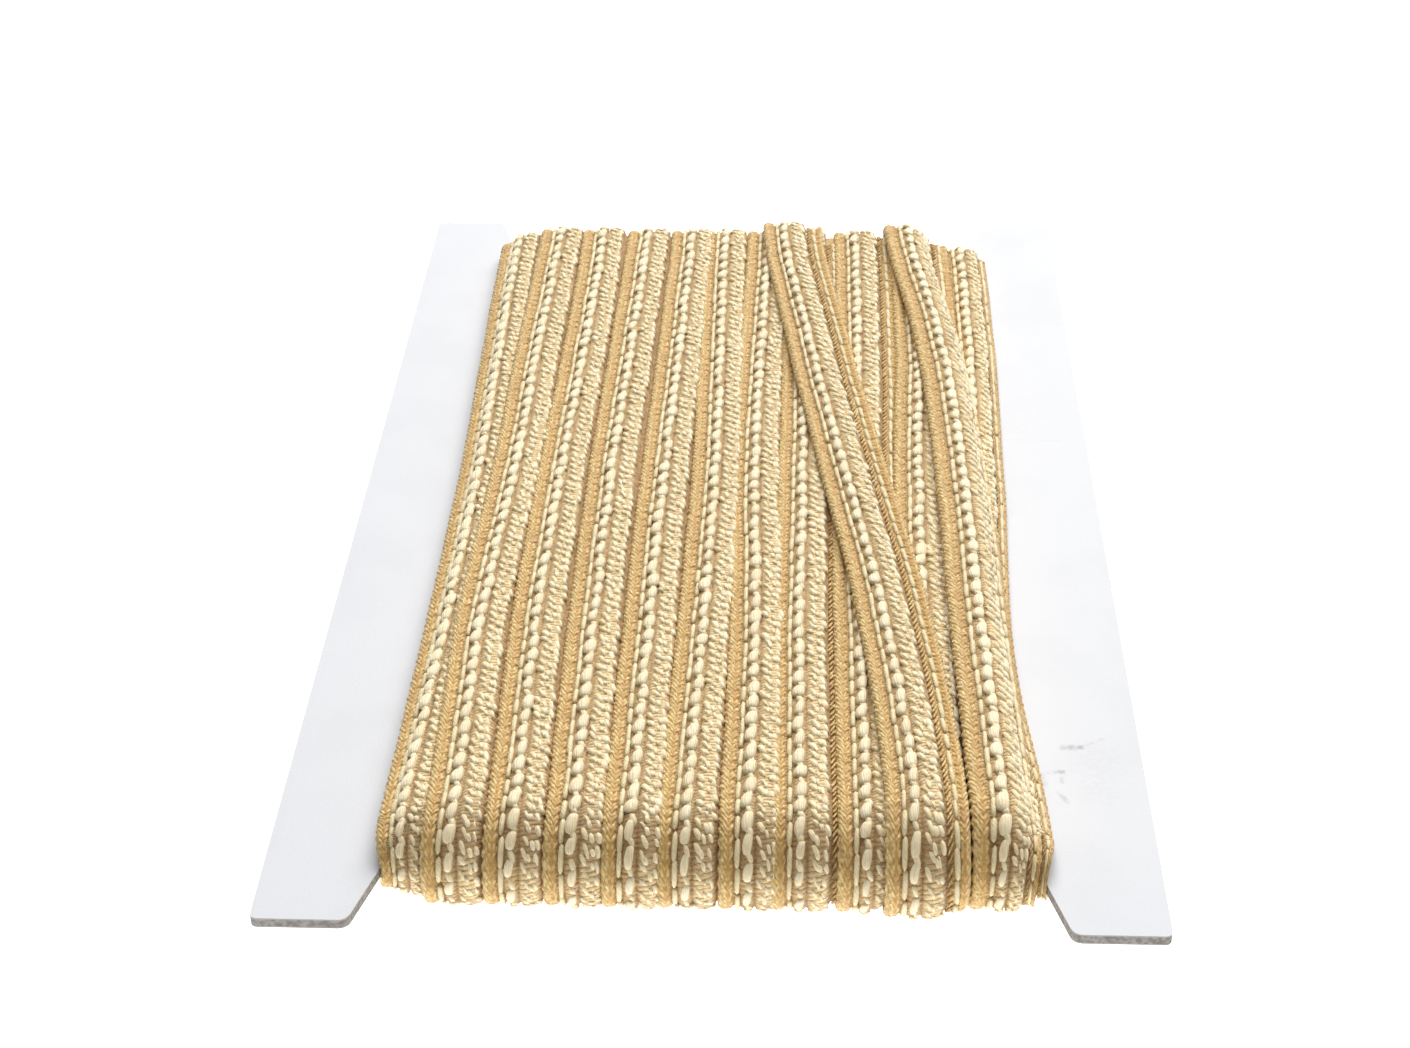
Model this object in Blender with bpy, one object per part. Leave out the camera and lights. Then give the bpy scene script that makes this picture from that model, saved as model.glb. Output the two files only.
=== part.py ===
"""Gimp braid trim wound on a flat card, for Blender 4.5.

X runs across the wraps, Y along the card and Z up. The origin is the middle of the underside.
"""

import math
from typing import NamedTuple

import bmesh
import bpy
from mathutils import Vector

MM = 0.001

# The card: a flat board with a wide notch in each short end, where the braid turns over the edge
CARD_LENGTH = 250 * MM
CARD_WIDTH = 150 * MM
CARD_THICKNESS = 2 * MM
CARD_MIDDLE_HEIGHT = 10 * MM
TIP_WIDTH = 16 * MM
NOTCH_DEPTH = 21.6 * MM
FLANK_SLOPE = 0.29
OUTER_RADIUS = 1.2 * MM
TIP_RADIUS = 2 * MM
NOTCH_RADIUS = 1 * MM
CORNER_STEPS = 4
WAIST_HALF_LENGTH = CARD_LENGTH / 2 - NOTCH_DEPTH
NOTCH_MOUTH_HALF_WIDTH = CARD_WIDTH / 2 - TIP_WIDTH
NOTCH_FLOOR_HALF_WIDTH = NOTCH_MOUTH_HALF_WIDTH - FLANK_SLOPE * NOTCH_DEPTH

# The winding: heights are measured out from the middle of the card, on both of its faces
CARD_GAP = 0.3 * MM
TURN_SLACK = 0.15 * MM
TURN_CENTRE = WAIST_HALF_LENGTH + TURN_SLACK
INNER_OFFSET = CARD_THICKNESS / 2 + CARD_GAP
LAYER_OFFSET = 7.9 * MM
CORE_OFFSET = 3.4 * MM
EDGE_OFFSET = INNER_OFFSET + 1 * MM
EDGE_ROUNDING = 0.6 * MM
SEAT_GROOVE = 1.2 * MM
SHOULDER_RADIUS = 4 * MM
FLANK_CLEARANCE = 1.1 * MM
SQUEEZE_FROM = 45 * MM

STRAIGHT_SINE = 0.001
TOP_STEPS = 18
TURN_STEPS = 8
UNDERSIDE_STEPS = 8

# The braid's face from its left edge to its right one: distance across it, and height over its back
BRAID_WIDTH = 14.0
CREST = 4.8


class Rib(NamedTuple):
    """One line of the braid's face, in millimetres."""

    name: str
    across: float
    height: float


RIBS = (
    Rib("left edge", 0.0, 0.4),
    Rib("gold cord", 1.2, 2.0),
    Rib("pale line", 2.8, 1.4),
    Rib("bobble chain", CREST, 2.5),
    Rib("open threads", 6.9, 1.0),
    Rib("loop chain", 9.0, 1.9),
    Rib("inner twill", 10.9, 1.1),
    Rib("outer twill", 13.0, 1.5),
    Rib("right edge", BRAID_WIDTH, 0.3),
)


class Wrap(NamedTuple):
    """One pass of the braid over the card's top, in millimetres.

    The five places give its left edge from the far end to the near end. The reaches are what it
    spans in plan, up to its bobble chain and in all. The lifts raise its left edge, its bobble
    chain and its right edge over a flat layer, and under is its level on the card's other face.
    """

    name: str
    far: float
    upper: float
    middle: float
    lower: float
    near: float
    crest_reach: float
    reach: float
    lift_left: float
    lift_crest: float
    lift_right: float
    under: float
    columns: int


# Wraps lie like roof tiles, each left edge on the wrap before, and two later passes cross on top
LAID_WRAPS = (
    Wrap("first", -56.6, -56.0, -55.2, -54.9, -54.6, 3.6, 10.2, -4.4, -1.9, 1.2, 0, 6),
    Wrap("second", -47.5, -48.1, -48.3, -49.4, -48.2, 4.8, 14, 0.35, 0, -0.75, 0, 6),
    Wrap("third", -37.4, -37.9, -38.8, -39.1, -38.0, 4.8, 14, 0.35, 0, -0.75, 0, 6),
    Wrap("fourth", -26.8, -27.7, -28.5, -28.6, -27.9, 4.8, 14, 0.35, 0, -0.75, 0, 6),
    Wrap("fifth", -16.4, -17.0, -17.9, -18.3, -18.2, 4.8, 14, 0.35, 0, -0.75, 0, 6),
    Wrap("sixth", -8.5, -8.0, -7.6, -8.2, -9.0, 4.8, 14, 0.35, 0, -0.75, 0, 6),
    Wrap("seventh", 1.8, 0.9, 0.3, 1.5, 1.2, 4.8, 14, 0.35, 0, -0.75, 0, 7),
    Wrap("eighth", 10.3, 10.3, 10.0, 9.6, 9.8, 4.8, 14, 0.35, 0, -0.75, 0, 9),
    Wrap("ninth", 22.3, 22.0, 21.0, 20.6, 20.9, 4.8, 14, 0.35, 0, -0.75, 0, 9),
    Wrap("tenth", 34.9, 35.1, 33.2, 32.4, 32.0, 4.8, 14, 0.35, -0.4, -3.0, 0, 9),
    Wrap("last", 46.8, 46.4, 44.8, 42.9, 43.7, 4.6, 10.2, -3.9, -4.2, -7.0, 0, 9),
)
CROSSING_WRAPS = (
    Wrap("diagonal", 5.4, 11.2, 18.0, 25.0, 28.8, 4.8, 14, 2.3, 2.0, 1.4, -2, 0),
    Wrap("shoulder", 34.2, 39.4, 41.5, 42.0, 43.0, 4.7, 10.8, 1.9, 1.5, -4.6, -2, 0),
)
PLAIN_COLUMNS = 6
PLAIN_FRACTIONS = (0.0, 0.12, 0.27, 0.47, 0.67, 0.87)

COLORS = {
    "card_white": (0.93, 0.93, 0.95, 1.0),
    "braid_cream_gold": (0.72, 0.56, 0.33, 1.0),
}


class Station(NamedTuple):
    """One place along the winding's way round the card."""

    y: float
    angle: float
    travel: float


class Column(NamedTuple):
    """One place across the winding, in millimetres, and whether a wrap starts there."""

    x: float
    at_crease: bool


def make_material(name, roughness):
    """A plain Principled material in one of the part's colours."""
    material = bpy.data.materials.new(name)
    material.use_nodes = True
    shader = material.node_tree.nodes["Principled BSDF"]
    shader.inputs["Base Color"].default_value = COLORS[name]
    shader.inputs["Roughness"].default_value = roughness
    shader.inputs["Metallic"].default_value = 0.0
    return material


def through(values, travel):
    """A smooth curve through evenly spaced values, read at travel from 0 to 1."""
    spans = len(values) - 1
    place = min(max(travel, 0.0), 1.0) * spans
    index = min(int(place), spans - 1)
    part = place - index
    before = values[max(index - 1, 0)]
    start = values[index]
    end = values[index + 1]
    after = values[min(index + 2, spans)]
    start_slope = (end - before) / 2
    end_slope = (after - start) / 2
    cube = part ** 3
    square = part ** 2
    return (
        (2 * cube - 3 * square + 1) * start
        + (cube - 2 * square + part) * start_slope
        + (3 * square - 2 * cube) * end
        + (cube - square) * end_slope
    )


def left_edge(wrap, travel):
    """Where a wrap's left edge lies at this travel, in millimetres."""
    places = (wrap.far, wrap.upper, wrap.middle, wrap.lower, wrap.near)
    return through(places, travel)


def rib_height(across):
    """The braid's own height at a distance across it, in millimetres."""
    for start, end in zip(RIBS, RIBS[1:]):
        if across <= end.across:
            part = (across - start.across) / (end.across - start.across)
            return start.height + part * (end.height - start.height)
    return RIBS[-1].height


def wrap_offset(wrap, station, x):
    """How far out a wrap's face lies at x, in millimetres, or None where the wrap isn't."""
    plan = x - left_edge(wrap, station.travel)
    if plan < 0 or plan > wrap.reach:
        return None
    if plan < wrap.crest_reach:
        part = plan / wrap.crest_reach
        across = CREST * part
        lift = wrap.lift_left + part * (wrap.lift_crest - wrap.lift_left)
    else:
        part = (plan - wrap.crest_reach) / (wrap.reach - wrap.crest_reach)
        across = CREST + part * (BRAID_WIDTH - CREST)
        lift = wrap.lift_crest + part * (wrap.lift_right - wrap.lift_crest)
    topside = (1 + math.cos(station.angle)) / 2
    level = wrap.under + topside * (lift - wrap.under)
    return LAYER_OFFSET / MM + level + rib_height(across)


def shoulder_drop(x, leftmost, rightmost):
    """How far the winding's long edges round off at x on its lower side, in metres."""
    inside = min(x - leftmost, rightmost - x) * MM
    if inside >= SHOULDER_RADIUS:
        return 0.0
    reach = SHOULDER_RADIUS - max(inside, 0.0)
    return SHOULDER_RADIUS - math.sqrt(SHOULDER_RADIUS ** 2 - reach ** 2)


def face_offset(station, column, leftmost, rightmost):
    """How far out the winding's face lies at a column, in metres."""
    offsets = [wrap_offset(wrap, station, column.x) for wrap in LAID_WRAPS + CROSSING_WRAPS]
    highest = max([offset for offset in offsets if offset is not None] or [0.0]) * MM
    offset = max(highest, CORE_OFFSET)
    if math.isclose(station.angle, math.pi):
        offset = CARD_MIDDLE_HEIGHT - (SEAT_GROOVE if column.at_crease else 0.0)
    underside = (1 - math.cos(station.angle)) / 2
    offset -= underside * shoulder_drop(column.x, leftmost, rightmost)
    return max(offset, EDGE_OFFSET)


def columns(station):
    """The places across the winding where its face is drawn, from left to right."""
    places = []
    starts = [left_edge(wrap, station.travel) for wrap in LAID_WRAPS]
    rightmost = starts[-1] + LAID_WRAPS[-1].reach
    for wrap, start, end in zip(LAID_WRAPS, starts, starts[1:] + [rightmost]):
        fractions = [step / wrap.columns for step in range(wrap.columns)]
        if wrap.columns == PLAIN_COLUMNS:
            fractions = PLAIN_FRACTIONS
        for fraction in fractions:
            at_crease = fraction == 0.0 and wrap is not LAID_WRAPS[0]
            places.append(Column(start + fraction * (end - start), at_crease))
    places.append(Column(rightmost, False))
    return places


def squeeze(x, offset, outermost, in_turn):
    """Draw the outer wraps in where the winding passes through a notch."""
    if not in_turn or abs(x) < SQUEEZE_FROM:
        return x
    limit = NOTCH_FLOOR_HALF_WIDTH + FLANK_SLOPE * offset - FLANK_CLEARANCE
    share = (abs(x) - SQUEEZE_FROM) / (outermost - SQUEEZE_FROM)
    return math.copysign(SQUEEZE_FROM + share * (limit - SQUEEZE_FROM), x)


def cross_section(station):
    """One closed section of the winding, as pairs of x and offset."""
    across = columns(station)
    leftmost = across[0].x
    rightmost = across[-1].x
    in_turn = abs(math.sin(station.angle)) > STRAIGHT_SINE
    section = []
    for column in across:
        offset = face_offset(station, column, leftmost, rightmost)
        outermost = abs(leftmost if column.x < 0 else rightmost) * MM
        section.append((squeeze(column.x * MM, offset, outermost, in_turn), offset))
    for edge in (rightmost, leftmost):
        outermost = abs(edge) * MM - EDGE_ROUNDING
        x = math.copysign(outermost, edge)
        section.append((squeeze(x, INNER_OFFSET, outermost, in_turn), INNER_OFFSET))
    return section


def stations():
    """The way round the card: over its top, round the near end, back below, round the far end."""
    way = []
    for step in range(TOP_STEPS + 1):
        travel = step / TOP_STEPS
        way.append(Station(TURN_CENTRE * (1 - 2 * travel), 0.0, travel))
    for step in range(1, TURN_STEPS):
        way.append(Station(-TURN_CENTRE, math.pi * step / TURN_STEPS, 1.0))
    for step in range(UNDERSIDE_STEPS + 1):
        travel = 1 - step / UNDERSIDE_STEPS
        way.append(Station(TURN_CENTRE * (1 - 2 * travel), math.pi, travel))
    for step in range(1, TURN_STEPS):
        way.append(Station(TURN_CENTRE, math.pi * (1 + step / TURN_STEPS), 0.0))
    return way


def build_winding(collection):
    """The wound braid: one ring round the card's waist, lofted from section to section."""
    mesh = bmesh.new()
    rings = []
    for station in stations():
        ring = []
        for x, offset in cross_section(station):
            y = station.y - offset * math.sin(station.angle)
            z = CARD_MIDDLE_HEIGHT + offset * math.cos(station.angle)
            ring.append(mesh.verts.new((x, y, z)))
        rings.append(ring)
    for ring, following in zip(rings, rings[1:] + rings[:1]):
        for index, vertex in enumerate(ring):
            beside = (index + 1) % len(ring)
            mesh.faces.new((vertex, following[index], following[beside], ring[beside]))
    bmesh.ops.recalc_face_normals(mesh, faces=mesh.faces)
    data = bpy.data.meshes.new("wound_braid")
    mesh.to_mesh(data)
    mesh.free()
    data.materials.append(make_material("braid_cream_gold", 0.75))
    winding = bpy.data.objects.new("wound_braid", data)
    collection.objects.link(winding)
    return winding


def rounded_corner(before, corner, after, radius):
    """The points of an arc that rounds one corner of an outline."""
    to_before = (before - corner).normalized()
    to_after = (after - corner).normalized()
    half_angle = to_before.angle(to_after) / 2
    centre = corner + (to_before + to_after).normalized() * radius / math.sin(half_angle)
    setback = radius / math.tan(half_angle)
    start = corner + to_before * setback - centre
    end = corner + to_after * setback - centre
    start_angle = math.atan2(start.y, start.x)
    sweep = math.atan2(end.y, end.x) - start_angle
    sweep = (sweep + math.pi) % (2 * math.pi) - math.pi
    arc = []
    for step in range(CORNER_STEPS + 1):
        angle = start_angle + sweep * step / CORNER_STEPS
        arc.append(centre + Vector((math.cos(angle), math.sin(angle))) * radius)
    return arc


def card_outline():
    """The board's outline: a quarter of its corners, turned into all four quarters and rounded."""
    quarter = (
        (CARD_WIDTH / 2, CARD_LENGTH / 2, OUTER_RADIUS),
        (NOTCH_MOUTH_HALF_WIDTH, CARD_LENGTH / 2, TIP_RADIUS),
        (NOTCH_FLOOR_HALF_WIDTH, WAIST_HALF_LENGTH, NOTCH_RADIUS),
    )
    corners = []
    radii = []
    for side_x, side_y in ((1, 1), (-1, 1), (-1, -1), (1, -1)):
        rows = quarter if side_x == side_y else quarter[::-1]
        corners += [Vector((side_x * x, side_y * y)) for x, y, radius in rows]
        radii += [radius for x, y, radius in rows]
    outline = []
    for index, corner in enumerate(corners):
        after = corners[(index + 1) % len(corners)]
        outline += rounded_corner(corners[index - 1], corner, after, radii[index])
    return outline


def build_card(collection):
    """The winding card: a flat outline, given the board's thickness."""
    curve = bpy.data.curves.new("winding_card", "CURVE")
    curve.dimensions = "2D"
    curve.fill_mode = "BOTH"
    curve.extrude = CARD_THICKNESS / 2
    outline = card_outline()
    spline = curve.splines.new("POLY")
    spline.points.add(len(outline) - 1)
    for point, place in zip(spline.points, outline):
        point.co = (place.x, place.y, 0.0, 1.0)
    spline.use_cyclic_u = True
    curve.materials.append(make_material("card_white", 0.6))
    card = bpy.data.objects.new("winding_card", curve)
    card.location.z = CARD_MIDDLE_HEIGHT
    collection.objects.link(card)
    return card


def main():
    """Clear the scene and build the two pieces."""
    for item in list(bpy.data.objects):
        bpy.data.objects.remove(item, do_unlink=True)
    parts = bpy.data.collections.new("gimp_braid_trim")
    bpy.context.scene.collection.children.link(parts)
    build_card(parts)
    build_winding(parts)


main()
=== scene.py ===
"""Looks of a gimp braid trim wound on a notched card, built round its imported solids.

X runs across the wraps, Y along the card to its far end and Z up. Sizes are in millimetres, and a mesh is
scaled to metres when it is made. A point of the braid has three measures: along it from its first end,
across it from its left edge, and its height over the braid's back.
"""

import logging
import math
from dataclasses import dataclass, field
from enum import Enum

import bpy
import numpy as np
from mathutils import Matrix, Vector


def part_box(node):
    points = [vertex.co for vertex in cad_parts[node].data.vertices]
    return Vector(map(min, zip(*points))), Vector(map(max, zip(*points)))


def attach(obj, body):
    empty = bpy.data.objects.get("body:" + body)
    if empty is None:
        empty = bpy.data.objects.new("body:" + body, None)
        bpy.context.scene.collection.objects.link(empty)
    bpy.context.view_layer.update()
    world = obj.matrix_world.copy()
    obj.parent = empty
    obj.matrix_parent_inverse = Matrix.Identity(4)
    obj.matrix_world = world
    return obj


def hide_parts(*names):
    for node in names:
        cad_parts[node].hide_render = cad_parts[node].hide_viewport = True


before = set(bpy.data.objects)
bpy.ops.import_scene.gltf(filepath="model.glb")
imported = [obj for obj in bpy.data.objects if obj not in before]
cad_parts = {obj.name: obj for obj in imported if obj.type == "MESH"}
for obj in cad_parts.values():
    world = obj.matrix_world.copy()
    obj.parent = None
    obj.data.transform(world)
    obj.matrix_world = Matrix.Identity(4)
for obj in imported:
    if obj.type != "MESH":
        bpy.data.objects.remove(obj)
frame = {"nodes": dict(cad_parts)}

LOG = logging.getLogger("gimp_braid")
MM = 0.001
# The braid's own measures: where its bobble chain lies across it, its width, and the way from one bobble
# to the next.
CREST = 4.8
WIDTH = 14.0
REPEAT = 4.4
# How many steps the route takes over the top, round an end and back below.
TOP_STEPS = 48
TURN_STEPS = 24
UNDER_STEPS = 32
# The lengths of the slow waves in a hand-wound edge, and what brings their sum to about 1.
WAVES = (29.0, 47.0, 83.0, 151.0)
WAVES_TOGETHER = 2.5

# Short names for the types.
Array = np.ndarray
Pair = tuple[float, float]
Faces = list[list[int]]
Material = bpy.types.Material
Node = bpy.types.Node
Piece = bpy.types.Object
Socket = bpy.types.NodeSocket
Tree = bpy.types.NodeTree


@dataclass(frozen=True)
class Tone:
    """A colour as a screen shows it, each part from 0 to 255."""

    red: float
    green: float
    blue: float

    def linear(self) -> tuple[float, float, float, float]:
        """The colour as light, which is how a shader takes it."""
        parts = [part / 255 for part in (self.red, self.green, self.blue)]
        return (*[p / 12.92 if p <= 0.04045 else ((p + 0.055) / 1.055) ** 2.4 for p in parts], 1.0)


@dataclass(frozen=True)
class Lean:
    """How a pass of the braid lies across its width.

    The reaches are what it spans in plan up to its bobble chain and in all. The heights are those of its
    back over the layer's level, at its left edge, under its bobbles and at its right edge.
    """

    crest_reach: float = CREST
    reach: float = WIDTH
    left: float = -0.1
    crest: float = 0.0
    right: float = -0.9

    def values(self) -> Array:
        """The five measures as one row."""
        return np.array([self.crest_reach, self.reach, self.left, self.crest, self.right])


FLAT_BELOW = Lean(CREST, WIDTH, -0.1, -0.45, -1.2)


@dataclass(frozen=True)
class Pass:
    """One pass of the braid over the top, by the places of its left edge from the far end to the near one."""

    name: str
    edge: tuple[float, float, float, float, float]
    lean: Lean = Lean()
    lean_below: Lean = FLAT_BELOW
    shows_right_edge: bool = False
    near_rise: tuple[float, float, float] = (2.9, 2.9, 2.9)


PASSES = (
    Pass("first", (-56.8, -56.0, -55.2, -55.4, -56.0), Lean(4.3, 12.0, -4.4, -2.1, -3.0),
         Lean(4.3, 12.0, -4.6, -2.2, -3.0), near_rise=(4.9, 2.8, 3.0)),
    Pass("second", (-47.5, -48.1, -48.3, -49.4, -48.2)),
    Pass("third", (-37.4, -37.9, -38.8, -39.1, -38.0)),
    Pass("fourth", (-26.8, -27.7, -28.5, -28.6, -27.9)),
    Pass("fifth", (-16.4, -17.0, -17.9, -18.3, -18.2)),
    Pass("sixth", (-8.5, -8.0, -7.6, -8.2, -9.0)),
    Pass("seventh", (1.8, 0.9, 0.3, 1.5, 1.2)),
    Pass("eighth", (10.3, 10.3, 10.0, 9.6, 9.8), shows_right_edge=True),
    Pass("ninth", (22.3, 22.0, 21.0, 20.6, 20.9), shows_right_edge=True),
    Pass("tenth", (34.9, 35.1, 33.2, 32.4, 32.6), Lean(CREST, WIDTH, 0.0, -0.4, -3.0),
         shows_right_edge=True, near_rise=(2.9, 3.1, 4.1)),
    Pass("last", (46.8, 46.4, 44.8, 43.0, 45.9), Lean(5.2, 10.6, -3.9, -4.0, -6.6),
         Lean(4.8, 10.6, -0.5, -1.2, -5.0), shows_right_edge=True, near_rise=(3.7, 4.3, 8.1)),
    Pass("diagonal", (5.4, 11.2, 18.0, 25.0, 28.8), Lean(CREST, WIDTH, 2.3, 2.0, 1.4),
         shows_right_edge=True, near_rise=(3.2, 3.4, 3.6)),
    Pass("shoulder", (34.2, 39.4, 41.5, 42.0, 43.0), Lean(5.1, 10.9, 1.9, 1.5, -4.6),
         Lean(4.8, 11.0, -0.3, -0.9, -4.6), shows_right_edge=True, near_rise=(1.3, 1.9, 6.9)),
)
# How many of the passes lie side by side. The rest cross over them.
LAID = 11


@dataclass(frozen=True)
class WindingForm:
    """How the braid is wound: how far out it lies, where it turns, and what presses or moves it.

    The squeeze draws the outer passes in between the walls of a notch. The press is how far a crossing
    pass pushes one below it in, and the wander is how far the braid strays from its line. The underside
    is from where, and by where, rows of points stand wider apart: 0 on top of the card, 1 below it.
    """

    turn_centre: float = 103.55
    layer: float = 7.9
    turn_radius: float = 10.2
    squeeze_from: float = 48.0
    squeeze_to: float = 56.0
    notch_floor: float = 52.736
    notch_slope: float = 0.29
    notch_clearance: float = 0.25
    press: float = 2.0
    press_softness: float = 2.0
    press_edge: float = 0.3
    notch_grip: int = 12
    wander_across: float = 0.09
    wander_out: float = 0.07
    underside: Pair = (0.75, 0.95)
    lowest: float = 0.03


@dataclass(frozen=True)
class Tail:
    """An end of the braid below the card, pressed in under the passes beside it."""

    hidden_edge: float
    showing_edge: float
    starts: float
    shows_by: float
    depth: float = 2.6


LEAD_IN = Tail(hidden_edge=-53.5, showing_edge=-56.6, starts=-70.0, shows_by=-5.0)
TUCKED_END = Tail(hidden_edge=45.0, showing_edge=43.0, starts=88.0, shows_by=38.0)
# The length over which the tucked end slants from its showing edge to its hidden one.
TUCK_SLANT = 190.0


def smooth(low: float, high: float, value: Array) -> Array:
    """A soft step from 0 at low to 1 at high."""
    part = np.clip((value - low) / (high - low), 0.0, 1.0)
    return part * part * (3.0 - 2.0 * part)


def curve_through(values: tuple[float, ...], travel: Array) -> Array:
    """Reads a smooth curve through evenly spaced values.

    Args:
        values: What the curve passes through.
        travel: Where to read it, from 0 at the first value to 1 at the last.

    Returns:
        The curve's value at each travel.
    """
    knots = np.array(values)
    spans = len(knots) - 1
    index = np.minimum((travel * spans).astype(int), spans - 1)
    part = travel * spans - index
    before = knots[np.maximum(index - 1, 0)]
    start = knots[index]
    end = knots[index + 1]
    after = knots[np.minimum(index + 2, spans)]
    rise = (
        (part ** 3 - 2 * part ** 2 + part) * (end - before) / 2
        + (part ** 3 - part ** 2) * (after - start) / 2
    )
    return (2 * part ** 3 - 3 * part ** 2 + 1) * start + (3 * part ** 2 - 2 * part ** 3) * end + rise


def bowed(across: Array, left: Array | float, crest: Array, right: Array) -> tuple[Array, Array]:
    """Reads a bow over the braid's width from its values at three places.

    Args:
        across: Where to read it.
        left: Its value at the braid's left edge.
        crest: Its value at the bobble chain.
        right: Its value at the right edge.

    Returns:
        The bow's value and its slope.
    """
    by_left, by_crest, by_right = CREST * WIDTH, CREST * (CREST - WIDTH), WIDTH * (WIDTH - CREST)
    value = (
        left * ((across - CREST) * (across - WIDTH) / by_left)
        + crest * (across * (across - WIDTH) / by_crest)
        + right * (across * (across - CREST) / by_right)
    )
    slope = (
        left * ((2 * across - CREST - WIDTH) / by_left)
        + crest * ((2 * across - WIDTH) / by_crest)
        + right * ((2 * across - CREST) / by_right)
    )
    return value, slope


class Measure(Enum):
    """What the route holds at each of its samples, by column."""

    ALONG = 0
    Y = 1
    ANGLE = 2
    ORDER = 3
    EDGE = 4
    CREST_REACH = 5
    REACH = 6
    LEFT = 7
    CREST = 8
    RIGHT = 9
    SINK = 10


@dataclass
class Route:
    """The braid's way from end to end: over the top, round the near end, back below and round again."""

    form: WindingForm
    rows: list[Array] = field(default_factory=list)
    table: Array = field(default_factory=lambda: np.zeros((0, len(Measure))))

    def add_leg(
        self, y: Array, angle: Array | float, order: int, edge: Array | float, lean: Array,
        sink: Array | float = 0.0,
    ) -> None:
        """Adds one leg of the way. All but its y may be the same for the whole leg.

        Args:
            y: Where each sample lies along the card, before the braid's height is added.
            angle: How far it has turned round the card's end, in radians.
            order: The pass that the leg belongs to.
            edge: The left edge's place.
            lean: The five measures of a Lean.
            sink: How deep the leg is pressed in.
        """
        rows = np.zeros((len(y), len(Measure)))
        rows[:, Measure.Y.value] = y
        rows[:, Measure.ANGLE.value] = angle
        rows[:, Measure.ORDER.value] = order
        rows[:, Measure.EDGE.value] = edge
        rows[:, Measure.CREST_REACH.value:Measure.SINK.value] = lean
        rows[:, Measure.SINK.value] = sink
        self.rows.append(rows)

    def close(self) -> None:
        """Joins the legs and measures the way along them."""
        table = np.concatenate(self.rows)
        step = np.diff(table, axis=0)
        turned = step[:, Measure.ANGLE.value] * self.form.turn_radius
        moved = np.hypot(step[:, Measure.Y.value], step[:, Measure.EDGE.value])
        table[1:, Measure.ALONG.value] = np.cumsum(np.maximum(turned, moved) + 1e-6)
        self.table = table

    @property
    def length(self) -> float:
        """The braid's shown length."""
        return float(self.table[-1, Measure.ALONG.value])

    def read(self, measure: Measure, along: Array) -> Array:
        """One measure at each place along the way."""
        return np.interp(along, self.table[:, Measure.ALONG.value], self.table[:, measure.value])


def lay_route(form: WindingForm) -> Route:
    """Lays the whole way of the braid's outer layer, from its lead-in below to its tucked end.

    Args:
        form: The winding's sizes.

    Returns:
        The finished route.
    """
    route = Route(form)
    centre = form.turn_centre
    turn = np.linspace(0.0, math.pi, TURN_STEPS + 1)
    travel = np.linspace(0.0, 1.0, TOP_STEPS + 1)
    below = np.linspace(-1.0, 1.0, UNDER_STEPS + 1)

    still = np.full(len(turn), centre)
    topside = ((1 + np.cos(turn)) / 2)[:, None]

    y = np.linspace(LEAD_IN.starts, centre, UNDER_STEPS + 1)
    shown = smooth(LEAD_IN.starts, LEAD_IN.shows_by, y)
    edge = LEAD_IN.hidden_edge + shown * (LEAD_IN.showing_edge - LEAD_IN.hidden_edge)
    lean = PASSES[0].lean_below.values()
    route.add_leg(y, -math.pi, -1, edge, lean, LEAD_IN.depth * (1 - shown))

    for order, braid_pass in enumerate(PASSES):
        over = math.tau * order
        lean_over = braid_pass.lean.values()
        lean_under = braid_pass.lean_below.values()
        far_edge, near_edge = braid_pass.edge[0], braid_pass.edge[-1]
        turning = lean_under + topside * (lean_over - lean_under)
        route.add_leg(still, over - math.pi + turn, order - 1, far_edge, turning[::-1])
        edge = curve_through(braid_pass.edge, travel)
        route.add_leg(centre * (1 - 2 * travel), over, order, edge, lean_over)
        rise = np.array([0.0, 0.0, *braid_pass.near_rise])
        route.add_leg(-still, over + turn, order, near_edge, turning + np.sin(turn)[:, None] ** 2 * rise)
        if order + 1 < len(PASSES):
            following = PASSES[order + 1]
            part = ((1 + below) / 2)[:, None]
            lean = lean_under + part * (following.lean_below.values() - lean_under)
            edge = near_edge + part[:, 0] * (following.edge[0] - near_edge)
            route.add_leg(centre * below, over + math.pi, order, edge, lean)

    y = np.linspace(-centre, TUCKED_END.starts, UNDER_STEPS + 1)
    hidden = smooth(TUCKED_END.shows_by, TUCKED_END.starts, y)
    slant = TUCKED_END.hidden_edge - TUCKED_END.showing_edge
    edge = TUCKED_END.showing_edge + slant * (y + centre) / TUCK_SLANT
    lean = PASSES[-1].lean_below.values()
    over = math.tau * len(PASSES) - math.pi
    route.add_leg(y, over, len(PASSES) - 1, edge, lean, TUCKED_END.depth * hidden)
    route.close()
    return route


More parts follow.
